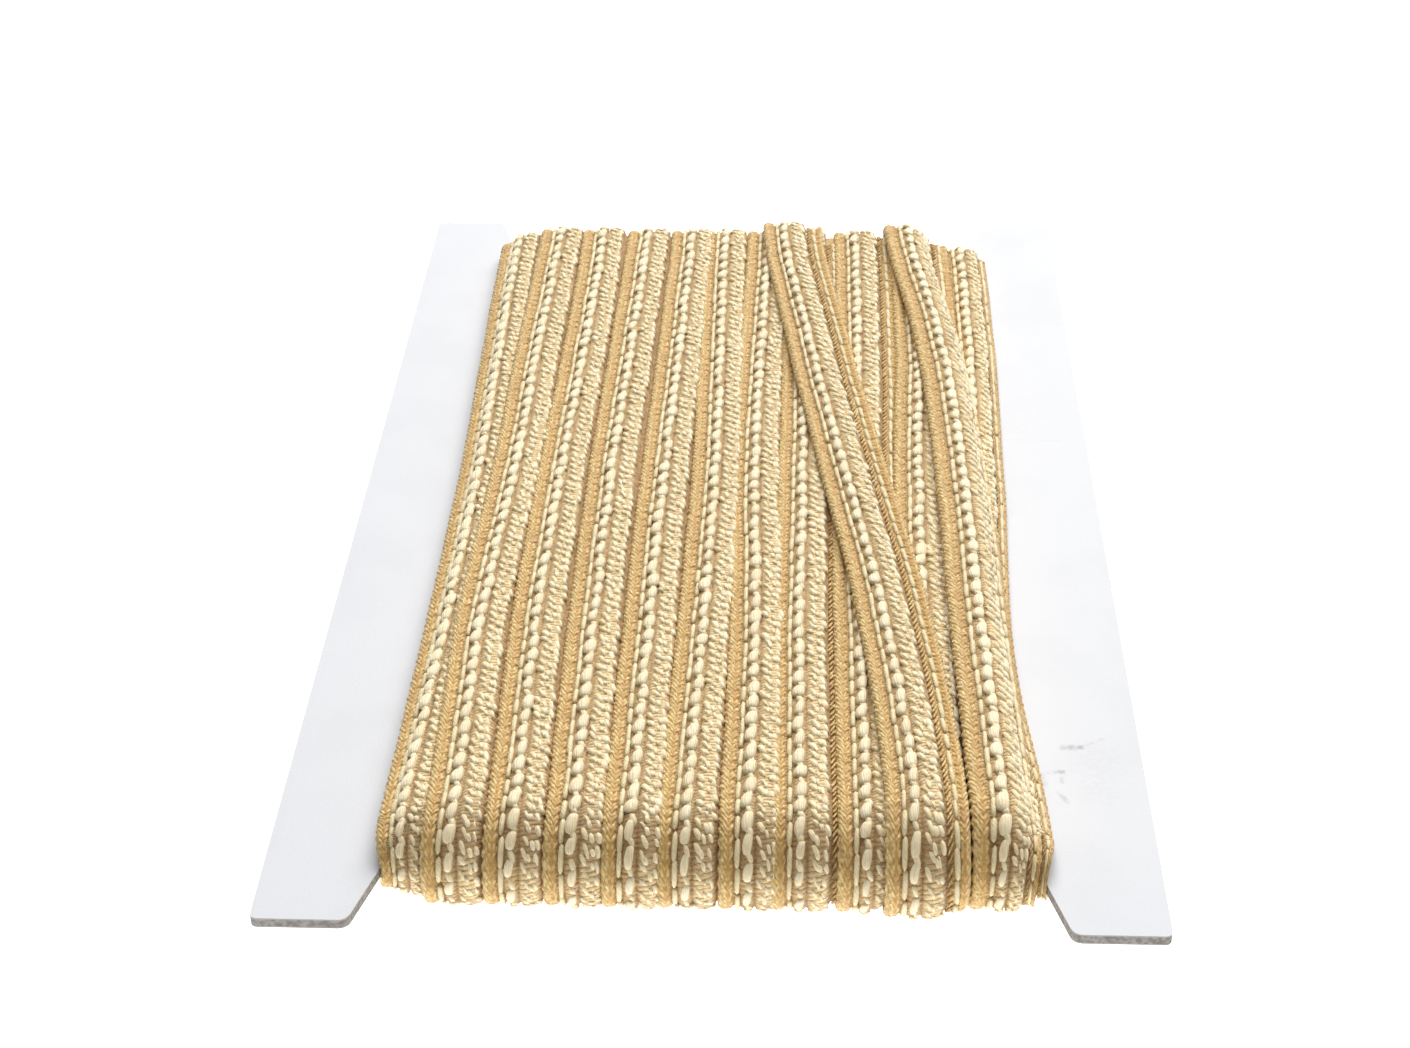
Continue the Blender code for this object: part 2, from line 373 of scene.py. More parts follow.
@dataclass
class Winding:
    """Turns a point of the braid into a point of the scene."""

    form: WindingForm
    middle_height: float
    seed: int = 7
    route: Route = field(init=False)
    wander: Array = field(init=False)

    def __post_init__(self) -> None:
        """Lays the route and draws the slow waves of a hand-wound edge."""
        self.route = lay_route(self.form)
        draws = np.random.default_rng(self.seed)
        self.wander = draws.uniform(0.0, math.tau, (2, len(WAVES)))

    def drift(self, along: Array, row: int) -> Array:
        """Reads a slow unevenness, from about -1 to 1.

        Args:
            along: Where on the braid to read it.
            row: Which of the two it is: 0 for the one across, 1 for the one outwards.

        Returns:
            How far the braid strays there.
        """
        total = np.zeros_like(along)
        for wave, length in enumerate(WAVES):
            total += np.sin(math.tau * along / length + self.wander[row, wave])
        return total / WAVES_TOGETHER

    def covered(self, order: Array, x: Array, y: Array) -> Array:
        """Counts the later passes that lie over a point of the winding's underside.

        Args:
            order: The pass that the point belongs to.
            x: Its place across.
            y: Its place along the card.

        Returns:
            How many crossing passes press on it, with soft edges.
        """
        count = np.zeros_like(x)
        travel = np.clip((y / self.form.turn_centre + 1) / 2, 0.0, 1.0)
        soft, edge = self.form.press_softness, self.form.press_edge
        for index in range(LAID - 1, len(PASSES)):
            start = PASSES[index].edge[-1]
            end = PASSES[index + 1].edge[0] if index + 1 < len(PASSES) else TUCKED_END.hidden_edge
            plan = x - (start + travel * (end - start))
            over = smooth(-soft, edge, plan) * (1 - smooth(WIDTH - edge, WIDTH + soft, plan))
            if index + 1 == len(PASSES):
                over = over * (1 - smooth(TUCKED_END.shows_by, TUCKED_END.starts, y))
            count += np.where(order < index - 0.5, over, 0.0)
        return count

    def squeezed(self, x: Array, offset: Array, turning: Array) -> Array:
        """Draws the outer passes in where they go through a notch of the card.

        Args:
            x: The place across.
            offset: How far out the point lies from the card's middle.
            turning: From 0 on the card's faces to 1 in its notch.

        Returns:
            The place across, drawn in.
        """
        form = self.form
        outside = np.abs(x)
        limit = form.notch_floor + form.notch_slope * offset - form.notch_clearance
        share = (outside - form.squeeze_from) / (form.squeeze_to - form.squeeze_from)
        drawn = form.squeeze_from + share * (limit - form.squeeze_from)
        kept = np.where(outside > form.squeeze_from, np.minimum(drawn, outside), outside)
        return np.sign(x) * (outside + turning * (kept - outside))

    def round_card(self, x: Array, offset: Array, y: Array, angle: Array) -> Array:
        """Places points that lie x across and offset out from the card's middle.

        Args:
            x: The place across.
            offset: How far out.
            y: Where the way is along the card.
            angle: How far it has turned round the card's end.

        Returns:
            The points, one a row.
        """
        x = self.squeezed(x, offset, np.sin(angle) ** self.form.notch_grip)
        z = self.middle_height + offset * np.cos(angle)
        z = np.maximum(z, self.form.lowest)
        return np.stack([x, y - offset * np.sin(angle), z], axis=-1)

    def place(self, along: Array, across: Array, height: Array) -> Array:
        """Places points of the braid.

        Args:
            along: From the braid's first end.
            across: From its left edge.
            height: Over its back.

        Returns:
            The points in the scene, in millimetres, one a row.
        """
        form = self.form
        along, across, height = np.broadcast_arrays(along, across, height)
        along = along.astype(float)
        read = {measure: self.route.read(measure, along) for measure in Measure}
        plan, plan_slope = bowed(across, 0.0, read[Measure.CREST_REACH], read[Measure.REACH])
        lift, lift_slope = bowed(across, read[Measure.LEFT], read[Measure.CREST], read[Measure.RIGHT])
        slant = np.hypot(plan_slope, lift_slope)
        x = read[Measure.EDGE] + plan - height * lift_slope / slant
        x = x + form.wander_across * self.drift(along, 0)
        offset = form.layer + lift + height * plan_slope / slant + form.wander_out * self.drift(along, 1)
        underside = (1 - np.cos(read[Measure.ANGLE])) / 2
        pressed = self.covered(read[Measure.ORDER], x, read[Measure.Y])
        offset = offset - underside * form.press * pressed - read[Measure.SINK]
        return self.round_card(x, offset, read[Measure.Y], read[Measure.ANGLE])

    def stations(self, start: float, end: float, step: float, step_below: float) -> Array:
        """Spaces the rows of a swept line, wider apart on the winding's underside.

        Args:
            start: Where on the braid the line starts.
            end: Where it ends.
            step: The space between rows on the top and the turns.
            step_below: The space between rows on the underside.

        Returns:
            The place of each row along the braid.
        """
        sample = 0.5
        along = np.linspace(start, end, int((end - start) / sample) + 2)
        below = (1 - np.cos(self.route.read(Measure.ANGLE, along))) / 2
        pace = 1 / (step + smooth(*self.form.underside, below) * (step_below - step))
        count = np.cumsum((pace[1:] + pace[:-1]) / 2 * np.diff(along))
        count = np.concatenate([[0.0], count])
        rows = np.interp(np.arange(int(count[-1]) + 1), count, along)
        return np.append(rows, end)

    def turned(self, along: Array) -> Array:
        """How far the braid has turned off the card's faces there, from 0 to 1 in the notch."""
        return np.sin(self.route.read(Measure.ANGLE, along)) ** 2

    def painted_turn_shade(self, along: Array) -> Array:
        """Painted shade where the braid bends over the edges of the card's ends, from 0 to 1 there."""
        return np.sin(2 * self.route.read(Measure.ANGLE, along)) ** 2

    def shows_right_edge(self, along: Array) -> Array:
        """Whether the braid's right edge can be seen there, and isn't under the next pass."""
        order = np.round(self.route.read(Measure.ORDER, along)).clip(0, len(PASSES) - 1).astype(int)
        return np.array([braid_pass.shows_right_edge for braid_pass in PASSES])[order]


def new_object(name: str, data: bpy.types.ID) -> Piece:
    """Makes an object of a mesh, light or camera and puts it in the scene.

    Args:
        name: Its name.
        data: What it is made of.

    Returns:
        The object.
    """
    made = bpy.data.objects.new(name, data)
    bpy.context.scene.collection.objects.link(made)
    return made


def shifted(faces: Faces, shift: int) -> Faces:
    """The faces with each index moved on."""
    return [[index + shift for index in face] for face in faces]


@dataclass
class Cloud:
    """Points, faces and yarn measures that are gathered into one mesh."""

    points: list[Array] = field(default_factory=list)
    yarn: list[Array] = field(default_factory=list)
    faces: Faces = field(default_factory=list)
    count: int = 0

    def add(self, points: Array, measures: tuple[Array | float, ...], faces: Faces) -> "Cloud":
        """Adds a part.

        Args:
            points: Its points, in millimetres.
            measures: For each point, the way along its yarn, the way round or across it, and its dullness,
                with painted shade added where the braid bends over the card's ends.
            faces: Its faces, counted from its own first point.

        Returns:
            The same cloud.
        """
        yarn = [np.broadcast_to(measure, points.shape[:-1]) for measure in measures]
        self.points.append(points.reshape(-1, 3))
        self.yarn.append(np.stack(yarn, axis=-1).reshape(-1, 3))
        self.faces += shifted(faces, self.count)
        self.count += points.size // 3
        return self

    def make(self, name: str, material: Material) -> Piece:
        """Makes the mesh, in metres, smooth and with its yarn measures on it.

        Args:
            name: The piece's name.
            material: Its finish.

        Returns:
            The piece.
        """
        mesh = bpy.data.meshes.new(name)
        mesh.from_pydata((np.concatenate(self.points) * MM).tolist(), [], self.faces)
        measures = mesh.attributes.new("yarn", "FLOAT_VECTOR", "POINT")
        measures.data.foreach_set("vector", np.concatenate(self.yarn).astype(np.float32).ravel())
        mesh.shade_smooth()
        mesh.materials.append(material)
        return new_object(name, mesh)


def grid_faces(rows: int, columns: int, closed: bool) -> Faces:
    """Faces of a grid whose columns run round a yarn and whose rows run along it.

    Args:
        rows: How many rows of points.
        columns: How many points in a row.
        closed: Whether the last column joins the first.

    Returns:
        The faces, pointing out of the yarn.
    """
    row = np.arange(rows - 1)[:, None] * columns
    column = np.arange(columns if closed else columns - 1)[None, :]
    beside = (column + 1) % columns
    corners = [row + column, row + beside, row + columns + beside, row + columns + column]
    return np.stack(corners, axis=-1).reshape(-1, 4).tolist()


def bead_faces(rings: int, sides: int) -> Faces:
    """Faces of a closed bead, whose points are its rings and then its two ends.

    Args:
        rings: How many rings it has.
        sides: How many points in a ring.

    Returns:
        The faces, pointing out of the bead.
    """
    faces = grid_faces(rings, sides, True)
    head = rings * sides
    last = (rings - 1) * sides
    for side in range(sides):
        beside = (side + 1) % sides
        faces.append([head, beside, side])
        faces.append([last + side, last + beside, head + 1])
    return faces


@dataclass
class Cord:
    """A cord that runs along the braid, its back flat and open on the ground.

    Its arc is how much of a round cord is made, in degrees. Its lumps slant away from its crease to both
    sides, as the strands of a twill do. The skin turns its width into the way round it.
    """

    across: float
    height: float
    half_width: float
    half_height: float
    sides: int
    step: float = 0.5
    step_below: float = 1.2
    arc: float = 200.0
    lump: float = 0.0
    lump_length: float = REPEAT / 2
    lump_slant: float = 0.6
    lump_aside: float = 0.7
    crease_at: float = 0.0
    crease_depth: float = 0.0
    crease_width: float = 0.22
    skin: float = 1.2
    only_where_shown: bool = False

    def spans(self, winding: Winding) -> list[Pair]:
        """Finds the stretches of the braid that the cord is made on.

        Args:
            winding: Where the braid lies.

        Returns:
            Where each stretch starts and ends.
        """
        if not self.only_where_shown:
            return [(0.0, winding.route.length)]
        sample = 5.0
        along = np.arange(0.0, winding.route.length, sample)
        shown = winding.shows_right_edge(along).astype(int)
        starts = along[1:][np.diff(shown) > 0]
        ends = along[1:][np.diff(shown) < 0]
        if len(ends) < len(starts):
            ends = np.append(ends, winding.route.length)
        return list(zip(starts.tolist(), ends.tolist()))

    def build(self, winding: Winding) -> Cloud:
        """Sweeps the cord along the braid.

        Args:
            winding: Where the braid lies.

        Returns:
            The cord's points and faces.
        """
        cloud = Cloud()
        arc = math.radians(self.arc)
        around = np.linspace(math.pi / 2 - arc / 2, math.pi / 2 + arc / 2, self.sides)
        out = np.cos(around)
        from_crease = out - self.crease_at
        crown = np.sin(around) - self.crease_depth * np.exp(-((from_crease / self.crease_width) ** 2))
        slanted = np.abs(from_crease) * self.half_width * self.skin / math.tan(self.lump_slant)
        for start, end in self.spans(winding):
            along = winding.stations(start, end, self.step, self.step_below)[:, None]
            swell = 1 + self.lump * np.cos(math.tau * (along + slanted) / self.lump_length)
            across = self.across + self.half_width * (1 + self.lump_aside * (swell - 1)) * out
            height = self.height + self.half_height * swell * crown
            measures = (along, self.half_width * self.skin * from_crease, 0.0)
            faces = grid_faces(len(along), self.sides, False)
            cloud.add(winding.place(along, across, height), measures, faces)
        return cloud


@dataclass
class Bead:
    """A short swelling of soft yarn that repeats along the braid: a bobble, a knot or a thread's float.

    It runs from its first place across and height to its second, and is fullest between them. The tip is
    how full it still is at its ends. Size, place and dullness change a little from one to the next, and over
    the edges of the card's ends painted shade darkens them.
    """

    across: Pair
    height: Pair
    length: float
    half_width: float
    half_height: float
    rings: int = 4
    sides: int = 5
    bulge_left: float = 0.0
    fullest_at: float = 0.5
    sharpness: float = 0.8
    tip: float = 0.16
    arch: float = 0.0
    every: float = REPEAT
    shift: float = 0.0
    unevenness: float = 0.06
    most_uneven: float = 2.2
    moved_across: float = 1.2
    moved_along: float = 0.8
    scatter: float = 0.0
    scatter_along: float = 0.6
    thinned: float = 0.28
    skin: float = 0.8
    only_where_shown: bool = False
    seed: int = 1

    def outline(self) -> tuple[Array, Array, Array]:
        """Lays out the points of one bead: its rings, then its two ends.

        Returns:
            For each point its share of the bead's length, how full the bead is there, and its angle.
        """
        part = np.linspace(0.5 / self.rings, 1 - 0.5 / self.rings, self.rings)
        part = np.concatenate([part, [0.0, 1.0]])
        warped = part ** (math.log(0.5) / math.log(self.fullest_at))
        full = self.tip + (1 - self.tip) * np.sin(math.pi * warped) ** self.sharpness
        full[-2:] = 0.0
        around = np.linspace(0.0, math.tau, self.sides, endpoint=False) - math.pi / 2
        ring = np.concatenate([np.repeat(np.arange(self.rings), self.sides), [self.rings, self.rings + 1]])
        angle = np.concatenate([np.tile(around, self.rings), [0.0, 0.0]])
        return part[ring], full[ring], angle

    def build(self, winding: Winding) -> Cloud:
        """Repeats the swelling along the braid, each a little unlike the next.

        Args:
            winding: Where the braid lies.

        Returns:
            The points and faces of all of them.
        """
        count = int((winding.route.length - self.length) / self.every)
        starts = np.arange(count) * self.every + self.shift
        if self.only_where_shown:
            starts = starts[winding.shows_right_edge(starts)]
        draws = np.random.default_rng(self.seed)
        starts = starts + self.scatter * draws.uniform(-self.scatter_along, self.scatter_along, len(starts))
        aside = self.scatter * draws.uniform(-1.0, 1.0, (len(starts), 1))
        uneven = draws.standard_normal((len(starts), 5)).clip(-self.most_uneven, self.most_uneven)
        size = 1 + self.unevenness * uneven
        middles = starts[:, None] + self.length / 2
        size[:, 1:4] *= 1 - self.thinned * winding.turned(middles)
        bulge, wide, high, long, moved = np.split(size, 5, axis=1)
        # Painted shade: over the edges of the card's ends the bead's dullness is raised to darken it, on top
        # of its random dullness.
        dull_and_shade = np.maximum(draws.random((len(starts), 1)), winding.painted_turn_shade(middles))
        part, full, angle = self.outline()
        middle = np.sin(math.pi * part)
        across = (
            self.across[0]
            + aside
            + (self.across[1] - self.across[0]) * part
            - self.bulge_left * middle * bulge
            + full * self.half_width * wide * np.cos(angle)
            + self.moved_across * self.half_width * (moved - 1)
        )
        height = (
            self.height[0]
            + (self.height[1] - self.height[0]) * part
            + self.arch * middle
            + full * self.half_height * high * np.sin(angle)
        )
        along = starts[:, None] + part * self.length * long + self.moved_along * (moved - 1)
        side = (angle + math.pi / 2) % math.tau / math.tau * self.sides * self.skin * self.half_width
        own = bead_faces(self.rings, self.sides)
        faces = [face for index in range(len(starts)) for face in shifted(own, index * len(part))]
        return Cloud().add(winding.place(along, across, height), (part * self.length, side, dull_and_shade), faces)


@dataclass
class Ground:
    """The flat worked strip that carries the braid's cords and chains, with a back of its own."""

    step: float = 2.2
    step_below: float = 3.6
    profile: tuple[Pair, ...] = (
        (0.0, 0.2), (0.35, 0.5), (2.1, 0.7), (3.0, 0.9), (3.5, 0.85), (3.9, 1.25), (4.8, 1.75), (5.6, 1.5),
        (5.95, 1.15), (6.4, 1.65), (7.6, 1.9), (8.9, 1.75), (9.7, 1.0), (10.1, 0.35), (11.2, 0.6),
        (12.3, 0.7), (13.2, 0.8), (13.8, 0.5), (14.0, 0.2), (13.4, 0.0), (0.6, 0.0),
    )

    def build(self, winding: Winding) -> Cloud:
        """Sweeps the strip along the braid.

        Args:
            winding: Where the braid lies.

        Returns:
            The strip's points and faces.
        """
        along = winding.stations(0.0, winding.route.length, self.step, self.step_below)[:, None]
        across, height = np.array(self.profile)[::-1].T
        faces = grid_faces(len(along), len(across), True)
        # The third measure is painted shade over the edges of the card's ends.
        measures = (along, across, winding.painted_turn_shade(along))
        return Cloud().add(winding.place(along, across, height), measures, faces)


@dataclass
class InnerLayers:
    """The layers below the outer one: their edges show on the winding's long sides.

    Round the near end they fill the drawn-out braid: they close up to its edges and reach further out.
    """

    layer_height: float = 1.55
    left_edges: tuple[float, ...] = (0.6, 1.0, 2.8, 6.2)
    right_edges: tuple[float, ...] = (2.6, 5.6, 10.5, 19.0)
    bulge: float = 0.5
    inner: float = 1.35
    edge_points: int = 5
    edge_span: Pair = (0.08, 0.92)
    top_steps: int = 60
    turn_steps: int = 24
    fills: float = 1.2
    closes_up: float = 0.85
    reaches_out: float = 0.2
    wave: float = 0.25
    wave_outwards: float = 2.1
    wave_along: float = 0.11
    waves_below: float = 6.0
    station_length: float = 3.4
    dull_and_shade: float = 0.5

    def section(self) -> Array:
        """Lays out one closed section of the layers: up their left edges and down their right ones.

        Returns:
            The side, inset, level and share of its layer's height of each point, in four rows.
        """
        parts = np.linspace(*self.edge_span, self.edge_points)
        left, right = (
            [(side, inset, level, part) for level, inset in enumerate(edges) for part in parts]
            for side, edges in ((-1, self.left_edges), (1, self.right_edges))
        )
        return np.array(left + right[::-1]).T

    def stations(self, winding: Winding) -> tuple[Array, Array, Array, Array]:
        """Finds the way of the layers round the card.

        Args:
            winding: Where the braid lies.

        Returns:
            For each station its place along the card, its angle, and the winding's left and right edges.
        """
        centre = winding.form.turn_centre
        travel = np.linspace(0.0, 1.0, self.top_steps + 1)
        turn = np.linspace(0.0, math.pi, self.turn_steps + 1)[1:-1]
        y = [centre * (1 - 2 * travel), -centre + 0 * turn, centre * (2 * travel - 1), centre + 0 * turn]
        y = np.concatenate(y)
        angle = np.concatenate([0 * travel, turn, math.pi + 0 * travel, math.pi + turn])
        share = (1 - y / centre) / 2
        first, last = PASSES[0], PASSES[LAID - 1]
        left = curve_through(first.edge, share)
        right = curve_through(last.edge, share) + last.lean.reach
        return y, angle, left, right

    def build(self, winding: Winding) -> Cloud:
        """Lofts the layers round the card.

        Args:
            winding: Where the braid lies.

        Returns:
            The points and faces of the closed ring.
        """
        y, angle, left, right = (values[:, None] for values in self.stations(winding))
        side, inset, level, part = self.section()
        full = np.where(y < 0, np.abs(np.sin(angle)) ** self.fills, 0.0)
        bulged = self.bulge * np.sin(math.pi * part)
        x = np.where(side < 0, left, right) - side * (inset * (1 - self.closes_up * full) - bulged)
        offset = (self.inner + (level + part) * self.layer_height) * (1 + self.reaches_out * full)
        wave = self.wave * np.sin(offset * self.wave_outwards + y * self.wave_along)
        x = x + wave * (offset < self.waves_below)
        points = winding.round_card(x, offset, y, angle)
        points = np.concatenate([points, points[:1]])
        travel = np.arange(len(points))[:, None] * self.station_length
        measures = (travel, np.concatenate([offset, offset[:1]]), self.dull_and_shade)
        return Cloud().add(points, measures, grid_faces(len(points), points.shape[1], True))


class Sheet:
    """A node tree under way, with short calls for the nodes that it needs."""

    def __init__(self, tree: Tree) -> None:
        """Takes the tree to work on."""
        self.tree = tree

    def node(self, kind: str, **settings: object) -> Node:
        """Adds a node.

        Args:
            kind: Its type.
            **settings: Its own properties.

        Returns:
            The node.
        """
        node = self.tree.nodes.new(kind)
        for name, value in settings.items():
            setattr(node, name, value)
        return node

    def feed(self, node: Node, inputs: dict[str | int, object]) -> Node:
        """Sets or links a node's inputs.

        Args:
            node: The node.
            inputs: For each input, a value or the output that feeds it.

        Returns:
            The same node.
        """
        for name, value in inputs.items():
            if isinstance(value, Socket):
                self.tree.links.new(value, node.inputs[name])
            else:
                node.inputs[name].default_value = value
        return node

    def math(self, operation: str, *values: object, clamp: bool = False) -> Socket:
        """One step of arithmetic."""
        node = self.node("ShaderNodeMath", operation=operation, use_clamp=clamp)
        return self.feed(node, dict(enumerate(values))).outputs[0]

    def times(self, first: object, second: object) -> Socket:
        """A product."""
        return self.math("MULTIPLY", first, second)

    def split(self, vector: Socket) -> list[Socket]:
        """A vector's three parts."""
        return list(self.feed(self.node("ShaderNodeSeparateXYZ"), {0: vector}).outputs)

    def join(self, *parts: object) -> Socket:
        """A vector from its three parts."""
        return self.feed(self.node("ShaderNodeCombineXYZ"), dict(enumerate(parts))).outputs[0]

    def noise(self, vector: Socket, scale: float, detail: float = 2.0) -> Socket:
        """Smooth noise from 0 to 1."""
        node = self.node("ShaderNodeTexNoise", noise_dimensions="3D")
        return self.feed(node, {"Vector": vector, "Scale": scale, "Detail": detail}).outputs["Fac"]

    def ramp(self, value: Socket, low: float, high: float) -> Socket:
        """A soft step from 0 at low to 1 at high."""
        node = self.node("ShaderNodeMapRange", interpolation_type="SMOOTHSTEP")
        return self.feed(node, {"Value": value, "From Min": low, "From Max": high}).outputs[0]

    def mix(self, share: object, first: object, second: object) -> Socket:
        """A blend of two colours."""
        node = self.node("ShaderNodeMix", data_type="RGBA")
        return self.feed(node, {0: share, 6: first, 7: second}).outputs[2]

    def bump(self, height: Socket, strength: float, distance: float) -> Socket:
        """A surface's slope from its fine relief."""
        inputs = {"Strength": strength, "Distance": distance, "Height": height}
        return self.feed(self.node("ShaderNodeBump"), inputs).outputs[0]

    def bands(self, value: Socket, stops: tuple[tuple[float, Tone], ...]) -> Socket:
        """A colour that changes with a value, through set tones.

        Args:
            value: What the colour follows.
            stops: Each tone after the value that it stands at, from the least to the greatest.

        Returns:
            The colour.
        """
        low, high = stops[0][0], stops[-1][0]
        ramp = self.node("ShaderNodeValToRGB")
        elements = ramp.color_ramp.elements
        for index, (stop, tone) in enumerate(stops):
            share = (stop - low) / (high - low)
            element = elements[0] if index == 0 else elements[-1] if share == 1.0 else elements.new(share)
            element.color = tone.linear()
        share = self.math("MULTIPLY_ADD", value, 1 / (high - low), -low / (high - low))
        return self.feed(ramp, {0: share}).outputs["Color"]

    def group(self, group: Tree, inputs: dict[str | int, object]) -> Node:
        """Places a node group."""
        return self.feed(self.node("ShaderNodeGroup", node_tree=group), inputs)


def new_group(
    name: str, inputs: dict[str, tuple[str, object]], outputs: dict[str, str]
) -> tuple[Tree, Node, Node]:
    """Starts a shader node group.

    Args:
        name: The group's name.
        inputs: For each input, its socket type and its usual value.
        outputs: For each output, its socket type.

    Returns:
        The group, its input node and its output node.
    """
    group = bpy.data.node_groups.new(name, "ShaderNodeTree")
    for label, (kind, value) in inputs.items():
        socket = group.interface.new_socket(label, in_out="INPUT", socket_type=kind)
        if value is not None:
            socket.default_value = value
    for label, kind in outputs.items():
        group.interface.new_socket(label, in_out="OUTPUT", socket_type=kind)
    return group, group.nodes.new("NodeGroupInput"), group.nodes.new("NodeGroupOutput")


def new_material(name: str) -> tuple[Material, Node, Sheet]:
    """Starts a material.

    Args:
        name: Its name.

    Returns:
        The material, its shader and a sheet for its other nodes.
    """
    material = bpy.data.materials.new(name)
    material.use_nodes = True
    return material, material.node_tree.nodes["Principled BSDF"], Sheet(material.node_tree)


def strand_group() -> Tree:
    """Makes the group that draws a yarn's strands and fibres from its measures.

    A yarn's dullness, which carries painted shade over the card's ends, differs from one to the next, so it
    also moves the noises apart.

    Returns:
        A group that gives the strands' relief, their fibres, a slow change from place to place, a
        mirrored cord's crease, and specks.
    """
    number = "NodeSocketFloat"
    group, given, made = new_group(
        "Yarn strands",
        {
            "Yarn": ("NodeSocketVector", None),
            "Spacing": (number, 0.35),
            "Slant": (number, 0.4),
            "Mirrored": (number, 0.0),
            "Fibre Spacing": (number, 0.1),
            "Speck Spacing": (number, 0.9),
        },
        {"Relief": number, "Fibre": number, "Patch": number, "Crease": number, "Speck": number},
    )
    sheet = Sheet(group)
    slant, mirrored, speck_spacing = (given.outputs[name] for name in ("Slant", "Mirrored", "Speck Spacing"))
    along, side, dull_and_shade = sheet.split(given.outputs["Yarn"])
    crease_span, ridge = (0.1, 0.5), 0.55
    wobble_squeeze, wobble_scale, wobble_apart, strand_wobble = 0.5, 1.3, 37.0, 0.9
    fibre_run, fibre_wobble, fibre_apart, fibre_detail = 1.1, 3.0, 61.0, 2.5
    patch_run, speck_apart, speck_span = 0.09, 23.0, (0.4, 0.62)

    crease = sheet.math("SUBTRACT", 1.0, sheet.ramp(sheet.math("ABSOLUTE", side), *crease_span))
    crease = sheet.times(crease, mirrored)
    folded = sheet.math("SUBTRACT", sheet.math("ABSOLUTE", side), side)
    side = sheet.math("MULTIPLY_ADD", folded, mirrored, side)
    sine = sheet.math("SINE", slant)
    cosine = sheet.math("COSINE", slant)
    down = sheet.math("MULTIPLY_ADD", along, sine, sheet.times(side, cosine))
    run = sheet.math("SUBTRACT", sheet.times(along, cosine), sheet.times(side, sine))
    place = sheet.join(sheet.times(along, wobble_squeeze), side, sheet.times(dull_and_shade, wobble_apart))
    wobble = sheet.math("SUBTRACT", sheet.noise(place, wobble_scale), 0.5)
    strand = sheet.math("DIVIDE", down, given.outputs["Spacing"])
    strand = sheet.math("MULTIPLY_ADD", wobble, strand_wobble, strand)
    wave = sheet.math("PINGPONG", strand, 0.5)
    relief = sheet.math("POWER", sheet.times(wave, 2.0), ridge)
    fine = sheet.math("DIVIDE", down, given.outputs["Fibre Spacing"])
    fine = sheet.math("MULTIPLY_ADD", wobble, fibre_wobble, fine)
    streak = sheet.join(sheet.times(run, fibre_run), fine, sheet.times(dull_and_shade, fibre_apart))
    fibre = sheet.noise(streak, 1.0, fibre_detail)
    patch = sheet.noise(sheet.join(sheet.times(along, patch_run), dull_and_shade, 0.0), 1.0, 1.0)
    over, beside = (sheet.math("DIVIDE", way, speck_spacing) for way in (along, side))
    speck = sheet.noise(sheet.join(over, beside, sheet.times(dull_and_shade, speck_apart)), 1.0, 1.0)
    speck = sheet.ramp(speck, *speck_span)
    sheet.feed(
        made, {"Relief": relief, "Fibre": fibre, "Patch": patch, "Crease": crease, "Speck": speck}
    )
    return group


@dataclass(frozen=True)
class YarnFinish:
    """A yarn's colours, from painted shade in its grooves to its crests and painted highlights along its
    fibres, and how its strands lie.
    """

    name: str
    deep: Tone
    body: Tone
    light: Tone
    spacing: float
    slant: float
    mirrored: float = 0.0
    fibre_spacing: float = 0.11
    relief_depth: float = 0.12
    fibre_depth: float = 0.05
    roughness: float = 0.55
    sheen: float = 0.25
    specular: float = 0.4
    varied: float = 0.35
    crease: Tone = Tone(204, 154, 78)
    speck_spacing: float = 0.9
    specks: float = 0.3
    bands: tuple[tuple[float, Tone], ...] = ()
    groove_span: Pair = (0.05, 0.75)
    streak_span: Pair = (0.36, 0.68)
    streak_share: float = 0.75
    patch_share: float = 0.6
    dull_and_shade_share: float = 0.5
    dull_and_shade_span: Pair = (0.25, 0.95)
    crease_share: float = 0.75
    bump: float = 0.9

    def make(self, strands: Tree) -> Material:
        """Makes the material.

        Args:
            strands: The group that draws strands.

        Returns:
            The yarn's material.
        """
        material, shader, sheet = new_material(self.name)
        deep = self.deep.linear()
        yarn = sheet.node("ShaderNodeAttribute", attribute_name="yarn").outputs["Vector"]
        given = {
            "Yarn": yarn,
            "Spacing": self.spacing,
            "Slant": self.slant,
            "Mirrored": self.mirrored,
            "Fibre Spacing": self.fibre_spacing,
            "Speck Spacing": self.speck_spacing,
        }
        relief, fibre, patch, crease, speck = list(sheet.group(strands, given).outputs)
        _, side, dull_and_shade = sheet.split(yarn)
        # Where bands are given, the body colour follows them across the yarn; the ground's dark bands are
        # painted shade.
        body = sheet.bands(side, self.bands) if self.bands else self.body.linear()
        # Painted shade: the deep tone fills the strands' grooves.
        colour = sheet.mix(sheet.ramp(relief, *self.groove_span), deep, body)
        # Painted highlight: the light tone along the fibre streaks stands for the silky yarn's sheen.
        lit = sheet.times(sheet.ramp(fibre, *self.streak_span), self.streak_share)
        colour = sheet.mix(lit, colour, self.light.linear())
        # Darker by the yarn's dullness and its patches; over the edges of the card's ends the dullness is
        # painted shade.
        change = sheet.times(dull_and_shade, self.dull_and_shade_share)
        change = sheet.math("MULTIPLY_ADD", patch, self.patch_share, change)
        colour = sheet.mix(sheet.times(sheet.ramp(change, *self.dull_and_shade_span), self.varied), colour, deep)
        colour = sheet.mix(sheet.times(speck, self.specks), colour, deep)
        colour = sheet.mix(sheet.times(crease, self.crease_share), colour, self.crease.linear())
        height = sheet.times(fibre, self.fibre_depth)
        height = sheet.math("MULTIPLY_ADD", relief, self.relief_depth, height)
        inputs = {
            "Base Color": colour,
            "Normal": sheet.bump(height, self.bump, MM),
            "Roughness": self.roughness,
            "Specular IOR Level": self.specular,
            "Sheen Weight": self.sheen,
            "Sheen Roughness": 0.5,
        }
        sheet.feed(shader, inputs)
        return material


